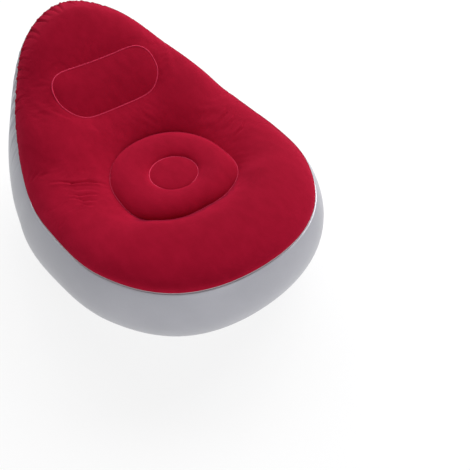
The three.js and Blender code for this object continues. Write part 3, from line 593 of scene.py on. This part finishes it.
def build_top():
    """The flocked sheet's points and triangles, its row at the rim, and its laid-out points."""
    places = make_layout()
    tris = triangles_of(places)
    verts = top_point(places[:, 0], places[:, 1])
    n_inner = len(verts)
    rows = [np.arange(COLUMNS)]
    roll = []
    for r in range(1, ROLL_ROWS + 1):
        roll.append(roll_point(BEARINGS, ROLL_TURN * r / ROLL_ROWS))
        rows.append(n_inner + (r - 1) * COLUMNS + np.arange(COLUMNS))
    way = roll[-2] - roll[-1]
    roll[-1] = roll[-1] + (BEAD_RADIUS + GAP) * way / np.linalg.norm(way, axis=1)[:, None]
    verts = np.vstack([verts, *roll])
    strips = []
    for above, below in zip(rows[:-1], rows[1:]):
        strips += band(above, below)
    tris = np.vstack([tris, *strips])
    edges = edges_of(tris)

    # How far each point stands from the welds, the ridge and the rim
    x, dy = verts[:n_inner, 0], verts[:n_inner, 1] - SEAT_CENTRE_Y
    out, bearing = np.hypot(x, dy), np.degrees(np.arctan2(x, -dy))
    past_seat = np.full(len(verts), FAR_OFF)
    past_seat[:n_inner] = out - seat_weld_out(bearing)
    past_head = np.full(len(verts), FAR_OFF)
    past_head[:n_inner] = past_headrest(places[:, 0], places[:, 1])
    from_ridge = np.zeros(len(verts))
    from_ridge[:n_inner] = ridge_out(bearing) - out
    turned = np.zeros(len(verts))
    turned[:n_inner] = folded(bearing)
    spread = np.vstack([places, np.zeros((ROLL_ROWS * COLUMNS, 2))])
    outward = grown(RIDGE_LOOP, 1) - RIDGE_LOOP
    run = np.zeros(COLUMNS)
    for above, row in zip(rows[:-1], rows[1:]):
        run = run + np.linalg.norm(verts[row] - verts[above], axis=1)
        from_ridge[row], turned[row] = -run, folded(BEARINGS)
        spread[row] = RIDGE_LOOP + run[:, None] * outward

    # The headrest is pressed in along its weld and swells between
    normals = vertex_normals(verts, tris)
    crease = (1 - np.abs(past_head) / (2 * CREASE_HALF)).clip(0) ** 1.5
    swell = np.sqrt((-past_head / (HEADREST_HEIGHT / 2)).clip(0, 1))
    verts = verts + (HEADREST_PUFF * swell - HEADREST_DEPTH * crease)[:, None] * normals

    # The air pushes the slopes out into one smooth sheet, held by the welds and the ridge
    beside = smoothstep(40, 75, turned) * smoothstep(176, 158, turned)
    inwards = smoothstep(0, 100 * mm, from_ridge) * (0.12 + 0.88 * smoothstep(60, 110, turned))
    weight = np.maximum(inwards, beside * smoothstep(-70 * mm, 50 * mm, from_ridge))
    weight *= smoothstep(0, 12 * mm, past_seat) * smoothstep(0.5 * mm, 4 * mm, np.abs(past_head))
    verts = settled(verts, tris, edges, weight, SETTLE_PASSES, SETTLE_LIFT)

    # The air blows it into its small creases, fast at its welds and its edge, and less in the headrest
    on_weld = np.minimum(np.abs(past_seat), np.abs(past_head)) < ON_WELD
    on_weld[:n_inner] |= np.abs(out - ROUND_WELD_RADIUS) < ON_WELD
    hold = np.full(len(verts), HELD_LOOSELY)
    hold[np.concatenate(rows[-4:-1])] = HELD_HALF
    hold[rows[-1]] = 1
    hold[on_weld] = 1
    share = 0.4 + 0.6 * smoothstep(-20 * mm, 30 * mm, past_head)
    verts = blown(verts, tris, hold, share)

    # The flanks fold, half as deep beyond the ridge
    shallower = 1 - 0.5 * smoothstep(6 * mm, -14 * mm, from_ridge)
    verts = verts - (shallower * folded_in(spread))[:, None] * vertex_normals(verts, tris)

    # The rim is gathered all round the high back
    away = np.zeros(len(verts))
    run = np.zeros(COLUMNS)
    for r in range(ROLL_ROWS - 1, -1, -1):
        run = run + np.linalg.norm(verts[rows[r]] - verts[rows[r + 1]], axis=1)
        away[rows[r]] = run
    on_roll = np.concatenate(rows)
    normals = vertex_normals(verts, tris)
    drawn = gathered(np.tile(BEARINGS, ROLL_ROWS + 1), away[on_roll])
    verts[on_roll] -= drawn[:, None] * normals[on_roll]
    return verts, tris, rows[-1], places


def weld_line_points(places, verts, normals, loop):
    """The points of the sheet that lie on a weld's loop, in order, a little proud of it."""
    found = [int(np.argmin(((places - p) ** 2).sum(1))) for p in loop]
    line = verts[found] + WELD_LINE_PROUD * normals[found]
    for _ in range(6):
        line = 0.5 * line + 0.25 * (np.roll(line, 1, 0) + np.roll(line, -1, 0))
    return line


# The wall and the base
WALL_COLUMNS = 900
WALL_ROWS = 44
WALL_BEARINGS = rim_columns(WALL_COLUMNS)


def wall_point(bearing, share):
    """A point of the wall, at a share of its height: 0 at the base and 1 at the rim."""
    rim = place(bearing, rim_out(bearing), 0)
    before = place(bearing - 0.5, rim_out(bearing - 0.5), 0)
    after = place(bearing + 0.5, rim_out(bearing + 0.5), 0)
    outward = np.stack([after[:, 1] - before[:, 1], before[:, 0] - after[:, 0], 0 * rim[:, 2]], -1)
    outward /= np.linalg.norm(outward, axis=1)[:, None]
    back = (rim[:, 1] - SEAT_CENTRE_Y + rim_out(0.0)) / (rim_out(0.0) + rim_out(180.0))
    drawn = WALL_IN_FRONT * (1 - back) - WALL_OUT_BACK * back
    bulge = WALL_BULGE * math.sin(math.pi * share) ** BULGE_POWER
    point = rim + (bulge - drawn * (1 - share))[:, None] * outward
    point[:, 2] = rim_up(bearing) * share
    return point


def towards(a, b, way):
    """The points moved a way towards others."""
    d = b - a
    return a + way * d / np.linalg.norm(d, axis=1)[:, None]


def build_wall():
    """The wall in rows from the rim down, closer together at its welds."""
    t = np.linspace(0, 1, WALL_ROWS)
    shares = (0.55 * (0.5 - 0.5 * np.cos(np.pi * t)) + 0.45 * t)[::-1]
    clear = BEAD_RADIUS + GAP
    rows = [wall_point(WALL_BEARINGS, s) for s in shares]
    rows[0] = towards(rows[0], rows[1], clear)
    base = rows[-1] + np.array([0, 0, BEAD_RADIUS])
    rows[-1] = towards(base, rows[-2], clear)
    verts = np.vstack(rows)
    tris = []
    k = np.arange(WALL_COLUMNS)
    away, run = [np.zeros(WALL_COLUMNS)], np.zeros(WALL_COLUMNS)
    for r in range(1, len(rows)):
        tris += band((r - 1) * WALL_COLUMNS + k, r * WALL_COLUMNS + k)
        run = run + np.linalg.norm(rows[r] - rows[r - 1], axis=1)
        away.append(run)
    tris = np.vstack(tris)
    bearings = np.tile(WALL_BEARINGS, len(rows))
    drawn = gathered(bearings, np.concatenate(away), depth_share=0.75, length_share=1.1)
    verts = verts - drawn[:, None] * vertex_normals(verts, tris)
    return verts, tris, k[::-1], (len(rows) - 1) * WALL_COLUMNS + k


def build_base():
    """The flat base sheet, in rings from its edge to its middle."""
    edge = wall_point(WALL_BEARINGS, 0)
    middle = edge.mean(0)
    edge = towards(edge, np.tile(middle, (len(edge), 1)), BEAD_RADIUS + GAP)
    shares = [1, 0.985, 0.95, 0.85, 0.65, 0.4, 0.15]
    rows = [middle + s * (edge - middle) for s in shares]
    verts = np.vstack([*rows, middle[None]])
    verts[:, 2] = SHEET / 2
    k = np.arange(WALL_COLUMNS)
    kn = np.roll(k, -1)
    tris = []
    for r in range(1, len(rows)):
        out, inn = (r - 1) * WALL_COLUMNS, r * WALL_COLUMNS
        tris.append(np.stack([out + k, out + kn, inn + kn], -1))
        tris.append(np.stack([out + k, inn + kn, inn + k], -1))
    last = (len(rows) - 1) * WALL_COLUMNS
    tris.append(np.stack([last + k, last + kn, np.full(len(k), len(verts) - 1)], -1))
    return verts, np.vstack(tris), k[::-1]


# Weld lines: one Geometry Nodes tree lays a round line along any closed loop
def weld_line_tree():
    tree = bpy.data.node_groups.new("weld_line", "GeometryNodeTree")
    sockets = {}
    kinds = {"Loop": "Geometry", "Line Radius": "Float", "Sides": "Int", "Finish": "Material"}
    for label, kind in kinds.items():
        sockets[label] = tree.interface.new_socket(label, in_out="INPUT", socket_type="NodeSocket" + kind)
    tree.interface.new_socket("Line", in_out="OUTPUT", socket_type="NodeSocketGeometry")
    given, made = tree.nodes.new("NodeGroupInput"), tree.nodes.new("NodeGroupOutput")
    path = tree.nodes.new("GeometryNodeMeshToCurve")
    profile = tree.nodes.new("GeometryNodeCurvePrimitiveCircle")
    line = tree.nodes.new("GeometryNodeCurveToMesh")
    smooth = tree.nodes.new("GeometryNodeSetShadeSmooth")
    real = tree.nodes.new("GeometryNodeRealizeInstances")
    dressed = tree.nodes.new("GeometryNodeSetMaterial")
    for start, end in (
        (given.outputs["Loop"], path.inputs["Mesh"]),
        (given.outputs["Line Radius"], profile.inputs["Radius"]),
        (given.outputs["Sides"], profile.inputs["Resolution"]),
        (path.outputs["Curve"], line.inputs["Curve"]),
        (profile.outputs["Curve"], line.inputs["Profile Curve"]),
        (line.outputs["Mesh"], smooth.inputs["Geometry"]),
        (smooth.outputs["Geometry"], real.inputs["Geometry"]),
        (real.outputs["Geometry"], dressed.inputs["Geometry"]),
        (given.outputs["Finish"], dressed.inputs["Material"]),
        (dressed.outputs["Geometry"], made.inputs["Line"]),
    ):
        tree.links.new(start, end)
    return tree, {label: socket.identifier for label, socket in sockets.items()}


WELD_TREE, WELD_SOCKETS = weld_line_tree()


def applied(obj):
    """The object with its modifiers made into a plain mesh."""
    bpy.context.view_layer.update()
    plain = bpy.data.meshes.new_from_object(obj.evaluated_get(bpy.context.evaluated_depsgraph_get()))
    obj.modifiers.clear()
    obj.data = plain
    return obj


def weld_line(name, points, radius, finish, sides=10):
    """A round line along the closed loop of points."""
    loop = bpy.data.meshes.new(name + "_loop")
    n = len(points)
    loop.from_pydata([tuple(p) for p in points], [(k, (k + 1) % n) for k in range(n)], [])
    obj = bpy.data.objects.new(name, loop)
    bpy.context.scene.collection.objects.link(obj)
    modifier = obj.modifiers.new("line", "NODES")
    modifier.node_group = WELD_TREE
    modifier[WELD_SOCKETS["Line Radius"]] = radius
    modifier[WELD_SOCKETS["Sides"]] = sides
    modifier[WELD_SOCKETS["Finish"]] = finish
    applied(obj)
    outwards(obj.data)
    return obj


def outwards(mesh):
    """Turns the faces round where they close on the wrong side."""
    build = bmesh.new()
    build.from_mesh(mesh)
    if build.calc_volume(signed=True) < 0:
        bmesh.ops.reverse_faces(build, faces=build.faces)
        build.to_mesh(mesh)
    build.free()


EDGE_ANGLE = math.radians(38)


def rounded_copy(node_name, edge, name):
    """A copy of a small solid with its edges eased."""
    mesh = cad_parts[node_name].data.copy()
    build = bmesh.new()
    build.from_mesh(mesh)
    bmesh.ops.remove_doubles(build, verts=build.verts, dist=1e-6)
    build.to_mesh(mesh)
    build.free()
    obj = bpy.data.objects.new(name, mesh)
    bpy.context.scene.collection.objects.link(obj)
    bevel = obj.modifiers.new("edges", "BEVEL")
    bevel.width = edge
    bevel.segments = 2
    bevel.limit_method = "ANGLE"
    bevel.angle_limit = EDGE_ANGLE
    applied(obj)
    obj.data.polygons.foreach_set("use_smooth", [True] * len(obj.data.polygons))
    obj.data.set_sharp_from_angle(angle=EDGE_ANGLE)
    return obj


# Materials
def material(name):
    """A new material, with its shader and the piece's own coordinates."""
    mat = bpy.data.materials.new(name)
    mat.use_nodes = True
    nodes, links = mat.node_tree.nodes, mat.node_tree.links
    shader = nodes["Principled BSDF"]
    coords = nodes.new("ShaderNodeTexCoord")
    return mat, nodes, links, shader, coords.outputs["Object"]


def noise(nodes, links, where, scale, detail=4, roughness=0.55, stretch=None):
    node = nodes.new("ShaderNodeTexNoise")
    node.inputs["Scale"].default_value = scale
    node.inputs["Detail"].default_value = detail
    node.inputs["Roughness"].default_value = roughness
    if stretch:
        mapping = nodes.new("ShaderNodeMapping")
        mapping.inputs["Scale"].default_value = stretch
        links.new(where, mapping.inputs["Vector"])
        where = mapping.outputs["Vector"]
    links.new(where, node.inputs["Vector"])
    return node.outputs["Fac"]


def ramp(nodes, links, value, stops):
    node = nodes.new("ShaderNodeValToRGB")
    while len(node.color_ramp.elements) < len(stops):
        node.color_ramp.elements.new(0.5)
    for element, (at, colour) in zip(node.color_ramp.elements, stops):
        element.position = at
        element.color = (*colour, 1)
    links.new(value, node.inputs["Fac"])
    return node.outputs["Color"]


def mixed(nodes, links, fac, a, b):
    node = nodes.new("ShaderNodeMix")
    node.data_type = "RGBA"
    if hasattr(fac, "links"):
        links.new(fac, node.inputs[0])
    else:
        node.inputs[0].default_value = fac
    for socket, value in ((node.inputs[6], a), (node.inputs[7], b)):
        if hasattr(value, "links"):
            links.new(value, socket)
        else:
            socket.default_value = (*value, 1)
    return node.outputs[2]


def bump(nodes, links, shader, layers):
    """Layers of fine relief, each with its strength and its depth."""
    before = None
    for height, strength, distance in layers:
        node = nodes.new("ShaderNodeBump")
        node.inputs["Strength"].default_value = strength
        node.inputs["Distance"].default_value = distance
        links.new(height, node.inputs["Height"])
        if before:
            links.new(before, node.inputs["Normal"])
        before = node.outputs["Normal"]
    links.new(before, shader.inputs["Normal"])


def srgb(r, g, b):
    def linear(c):
        c /= 255
        return c / 12.92 if c <= 0.04045 else ((c + 0.055) / 1.055) ** 2.4

    return tuple(linear(c) for c in (r, g, b))


def flock_material():
    """Short dense pile: brushed patches, fine strokes and a fine grain, with painted shade that darkens it
    where the surface is seen at a grazing angle.
    """
    mat, nodes, links, shader, where = material("flocked_velvet")
    cloud = noise(nodes, links, where, scale=5, detail=5, roughness=0.6)
    strokes = noise(nodes, links, where, scale=38, roughness=0.6, stretch=(1.0, 0.45, 1.0))
    grain = noise(nodes, links, where, scale=850, detail=2, roughness=0.7)
    base = ramp(nodes, links, cloud, [(0.3, srgb(161, 16, 43)), (0.7, srgb(172, 19, 48))])
    stroked = ramp(nodes, links, strokes, [(0.35, srgb(144, 11, 36)), (0.65, srgb(188, 25, 57))])
    brushed = mixed(nodes, links, 0.22, base, stroked)
    tips = ramp(nodes, links, grain, [(0.3, srgb(120, 9, 29)), (0.7, srgb(205, 34, 70))])
    colour = mixed(nodes, links, 0.16, brushed, tips)
    # Painted shade: the colour is darkened towards the edges that the surface shows at a grazing angle
    grazing_for_painted_shade = nodes.new("ShaderNodeLayerWeight")
    grazing_for_painted_shade.inputs["Blend"].default_value = 0.5
    edge = nodes.new("ShaderNodeMapRange")
    edge.interpolation_type = "SMOOTHSTEP"
    edge.inputs["From Min"].default_value = 0.72
    edge.inputs["From Max"].default_value = 0.97
    links.new(grazing_for_painted_shade.outputs["Facing"], edge.inputs["Value"])
    colour_with_painted_shade = mixed(nodes, links, edge.outputs["Result"], colour, srgb(104, 9, 34))
    links.new(colour_with_painted_shade, shader.inputs["Base Color"])
    shader.inputs["Roughness"].default_value = 0.95
    shader.inputs["Diffuse Roughness"].default_value = 1.0
    shader.inputs["Specular IOR Level"].default_value = 0.04
    shader.inputs["Sheen Weight"].default_value = 0.3
    shader.inputs["Sheen Roughness"].default_value = 0.5
    shader.inputs["Sheen Tint"].default_value = (*srgb(225, 50, 90), 1)
    bump(nodes, links, shader, [(strokes, 0.1, 0.002), (grain, 0.3, 0.0006)])
    return mat


def weld_material():
    """Flock of the weld lines, a little paler than the pile beside it, as a painted highlight along the
    raised lines.
    """
    mat, nodes, links, shader, where = material("flock_with_painted_highlight")
    wear = noise(nodes, links, where, scale=110, roughness=0.6)
    # Painted highlight: the paler tones stand for the light on the raised weld lines
    painted_highlight_tone = ramp(nodes, links, wear, [(0.3, srgb(184, 34, 68)), (0.7, srgb(202, 46, 82))])
    links.new(painted_highlight_tone, shader.inputs["Base Color"])
    shader.inputs["Roughness"].default_value = 0.7
    shader.inputs["Specular IOR Level"].default_value = 0.2
    shader.inputs["Sheen Weight"].default_value = 0.25
    shader.inputs["Sheen Tint"].default_value = (*srgb(240, 110, 140), 1)
    bump(nodes, links, shader, [(wear, 0.3, 0.0006)])
    return mat


def silver_material(name="silver_vinyl", low=(164, 164, 171), high=(176, 176, 183), rough=0.34):
    """Smooth printed vinyl with a satin shine and a faint orange peel."""
    mat, nodes, links, shader, where = material(name)
    cloud = noise(nodes, links, where, scale=4, roughness=0.5)
    fine = noise(nodes, links, where, scale=700, detail=3, roughness=0.6)
    swell = noise(nodes, links, where, scale=8, detail=3, roughness=0.5)
    base = ramp(nodes, links, cloud, [(0.3, srgb(*low)), (0.7, srgb(*high))])
    flecked = ramp(nodes, links, fine, [(0.3, srgb(126, 127, 134)), (0.7, srgb(214, 215, 220))])
    links.new(mixed(nodes, links, 0.08, base, flecked), shader.inputs["Base Color"])
    shader.inputs["Metallic"].default_value = 0.35
    shader.inputs["Roughness"].default_value = rough
    bump(nodes, links, shader, [(swell, 0.22, 0.006), (fine, 0.06, 0.0004)])
    return mat


def plastic_material(name, low, high, rough):
    """Plain plastic or rubber, a little clouded between two tones."""
    mat, nodes, links, shader, where = material(name)
    cloud = noise(nodes, links, where, scale=60, roughness=0.5)
    fine = noise(nodes, links, where, scale=2200, detail=2, roughness=0.6)
    base = ramp(nodes, links, cloud, [(0.3, srgb(*low)), (0.7, srgb(*high))])
    links.new(base, shader.inputs["Base Color"])
    shader.inputs["Roughness"].default_value = rough
    bump(nodes, links, shader, [(fine, 0.1, 0.0002)])
    return mat


FLOCK = flock_material()
WELD = weld_material()
SILVER = silver_material()
# The beads' pale pinkish tone is a painted highlight along the seam between the flock and the wall
PALE_BEAD_PAINTED_HIGHLIGHT = silver_material("silver_weld", (178, 168, 174), (192, 182, 188), 0.5)
BASE = silver_material("base_vinyl", (150, 151, 156), (162, 163, 168), 0.5)
WEB = plastic_material("web_vinyl", (150, 153, 158), (166, 168, 172), 0.5)
VALVE_VINYL = plastic_material("valve_vinyl", (186, 189, 193), (200, 202, 206), 0.45)
VALVE_PLASTIC = plastic_material("valve_plastic", (62, 65, 70), (78, 81, 86), 0.45)
RUBBER = plastic_material("valve_rubber", (222, 220, 212), (232, 230, 224), 0.55)


def dress(obj, mat, body, slot_name, *nodes):
    """Gives a piece its finish and its body, and hides the solids that it takes the place of; its slot's name
    is not used.
    """
    obj.data.materials.clear()
    obj.data.materials.append(mat)
    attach(obj, body)
    if nodes:
        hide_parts(*nodes)
    return obj


# Building the chair
verts, tris, rim_row, places = build_top()
top = closed_sheet("flocked_top", verts, tris, SHEET, [rim_row])
dress(top, FLOCK, "chair", "flocked_sheet", "top_panel")

normals = vertex_normals(verts, tris)
for name, loop, node in (
    ("seat_line", SEAT_LOOP, "seat_ring_weld"),
    ("round_line", ROUND_LOOP, "seat_centre_weld"),
    ("headrest_line", HEAD_LOOP, "headrest_weld"),
):
    points = weld_line_points(places, verts, normals, loop)
    line = weld_line(name, points, WELD_LINE_RADIUS, WELD)
    dress(line, WELD, "chair", "flocked_weld", node)

wall_verts, wall_tris, wall_top, wall_low = build_wall()
wall = closed_sheet("silver_wall", wall_verts, wall_tris, VINYL, [wall_top, wall_low])
dress(wall, SILVER, "chair", "silver_vinyl", "side_wall")

base_verts, base_tris, base_edge = build_base()
base = closed_sheet("base_sheet", base_verts, base_tris, VINYL, [base_edge])
dress(base, BASE, "chair", "silver_vinyl", "base_panel")

rim_points = place(WALL_BEARINGS, rim_out(WALL_BEARINGS), 0)
rim_points[:, 2] = rim_up(WALL_BEARINGS)
rim_line = weld_line("rim_line", rim_points, BEAD_RADIUS, PALE_BEAD_PAINTED_HIGHLIGHT)
dress(rim_line, PALE_BEAD_PAINTED_HIGHLIGHT, "chair", "silver_weld", "rim_weld")

base_points = wall_point(WALL_BEARINGS, 0) + np.array([0, 0, BEAD_RADIUS])
base_line = weld_line("base_line", base_points, BEAD_RADIUS, PALE_BEAD_PAINTED_HIGHLIGHT)
dress(base_line, PALE_BEAD_PAINTED_HIGHLIGHT, "chair", "silver_weld", "base_weld")

# The valve's pieces, with their edges eased by a fraction of a millimetre
for node, name, body, finish, slot, edge in (
    ("valve_flange", "flange", "chair", VALVE_VINYL, "valve_vinyl", 0.3),
    ("valve_plug", "plug", "plug", VALVE_PLASTIC, "valve_plastic", 0.25),
    ("valve_cap", "cap", "cap", VALVE_PLASTIC, "valve_plastic", 0.25),
    ("plug_strap", "strap", "chair", VALVE_VINYL, "valve_vinyl", 0.2),
):
    dress(rounded_copy(node, edge * mm, name), finish, body, slot, node)

# The solids that stay: the webs inside, the seal and the flap
STAY = {
    "seat_ring_web": WEB,
    "seat_centre_tube": WEB,
    "headrest_web": WEB,
    "valve_seal": RUBBER,
    "valve_flap": RUBBER,
}
for name, mat in STAY.items():
    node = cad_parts[name]
    node.data.materials.clear()
    node.data.materials.append(mat)


# The photograph's view: where the camera stands, its turn, tilt and roll in degrees, and its focal length
# and the photograph's width, both in pixels
VIEW_PLACE = (-0.592, -1.3099, 1.522)
VIEW_TURN, VIEW_TILT, VIEW_ROLL = -35.47, 49.47, -1.66
FOCAL_PIXELS, PHOTO_PIXELS = 526.2, 470


def camera():
    turn, tilt, roll = math.radians(VIEW_TURN), math.radians(VIEW_TILT), math.radians(VIEW_ROLL)
    right = Vector((math.cos(turn), math.sin(turn), 0))
    back = Vector((math.sin(turn) * math.cos(tilt), -math.cos(turn) * math.cos(tilt), math.sin(tilt)))
    up = back.cross(right)
    x_axis = math.cos(roll) * right + math.sin(roll) * up
    y_axis = math.cos(roll) * up - math.sin(roll) * right
    data = bpy.data.cameras.new("view")
    data.sensor_width = 36
    data.lens = 36 * FOCAL_PIXELS / PHOTO_PIXELS
    cam = bpy.data.objects.new("view", data)
    turned = Matrix((x_axis, y_axis, back)).transposed().to_4x4()
    cam.matrix_world = Matrix.Translation(VIEW_PLACE) @ turned
    bpy.context.scene.collection.objects.link(cam)
    bpy.context.scene.camera = cam


camera()


# The floor and the light
def unlit_share(nodes, links, low, high):
    """The low share for lit rays, and the high one for what the camera, gloss and glass see."""
    path = nodes.new("ShaderNodeLightPath")
    total = path.outputs["Is Camera Ray"]
    for other in ("Is Glossy Ray", "Is Transmission Ray"):
        add = nodes.new("ShaderNodeMath")
        add.operation = "MAXIMUM"
        links.new(total, add.inputs[0])
        links.new(path.outputs[other], add.inputs[1])
        total = add.outputs[0]
    share = nodes.new("ShaderNodeMapRange")
    share.inputs["To Min"].default_value = low
    share.inputs["To Max"].default_value = high
    links.new(total, share.inputs["Value"])
    return share.outputs["Result"]


def floor():
    """A plain pale floor."""
    corners = [(-9, -9, 0), (9, -9, 0), (9, 9, 0), (-9, 9, 0)]
    obj = mesh_object("floor", corners, [(0, 1, 2, 3)], smooth=False)
    mat = bpy.data.materials.new("floor")
    mat.use_nodes = True
    nodes, links = mat.node_tree.nodes, mat.node_tree.links
    shader = nodes["Principled BSDF"]
    shader.inputs["Base Color"].default_value = (0.93, 0.93, 0.94, 1)
    shader.inputs["Roughness"].default_value = 0.9
    glow = nodes.new("ShaderNodeEmission")
    glow.inputs["Color"].default_value = (1, 1, 1, 1)
    mix = nodes.new("ShaderNodeMixShader")
    links.new(unlit_share(nodes, links, low=0.22, high=0.84), mix.inputs["Fac"])
    links.new(shader.outputs["BSDF"], mix.inputs[1])
    links.new(glow.outputs["Emission"], mix.inputs[2])
    links.new(mix.outputs["Shader"], nodes["Material Output"].inputs["Surface"])
    obj.data.materials.append(mat)


floor()


LAMP_DISTANCE = 3.6


def area(name, bearing, height, size, power, glossy=True):
    """A round soft lamp, placed by its bearing from the front and its height in degrees."""
    turn, rise = math.radians(bearing), math.radians(height)
    way = Vector((math.sin(turn) * math.cos(rise), -math.cos(turn) * math.cos(rise), math.sin(rise)))
    where = way * LAMP_DISTANCE
    data = bpy.data.lights.new(name, "AREA")
    data.shape = "DISK"
    data.size = size
    data.energy = power
    obj = bpy.data.objects.new(name, data)
    obj.visible_glossy = glossy
    target = Vector((0, 0, 0.3))
    obj.location = target + where
    obj.rotation_euler = (-where).to_track_quat("-Z", "Y").to_euler()
    bpy.context.scene.collection.objects.link(obj)


area("key", bearing=98, height=36, size=2.4, power=100)
area("side", bearing=135, height=45, size=2.4, power=84, glossy=False)
area("back", bearing=172, height=42, size=2.4, power=54)
area("front", bearing=345, height=25, size=2.8, power=50, glossy=False)

world = bpy.data.worlds.new("studio")
bpy.context.scene.world = world
world.use_nodes = True
nodes, links = world.node_tree.nodes, world.node_tree.links
background = nodes["Background"]
background.inputs["Color"].default_value = (0.98, 0.985, 1.0, 1)
links.new(unlit_share(nodes, links, low=0.14, high=1.0), background.inputs["Strength"])

bpy.context.scene.view_settings.view_transform = "Standard"
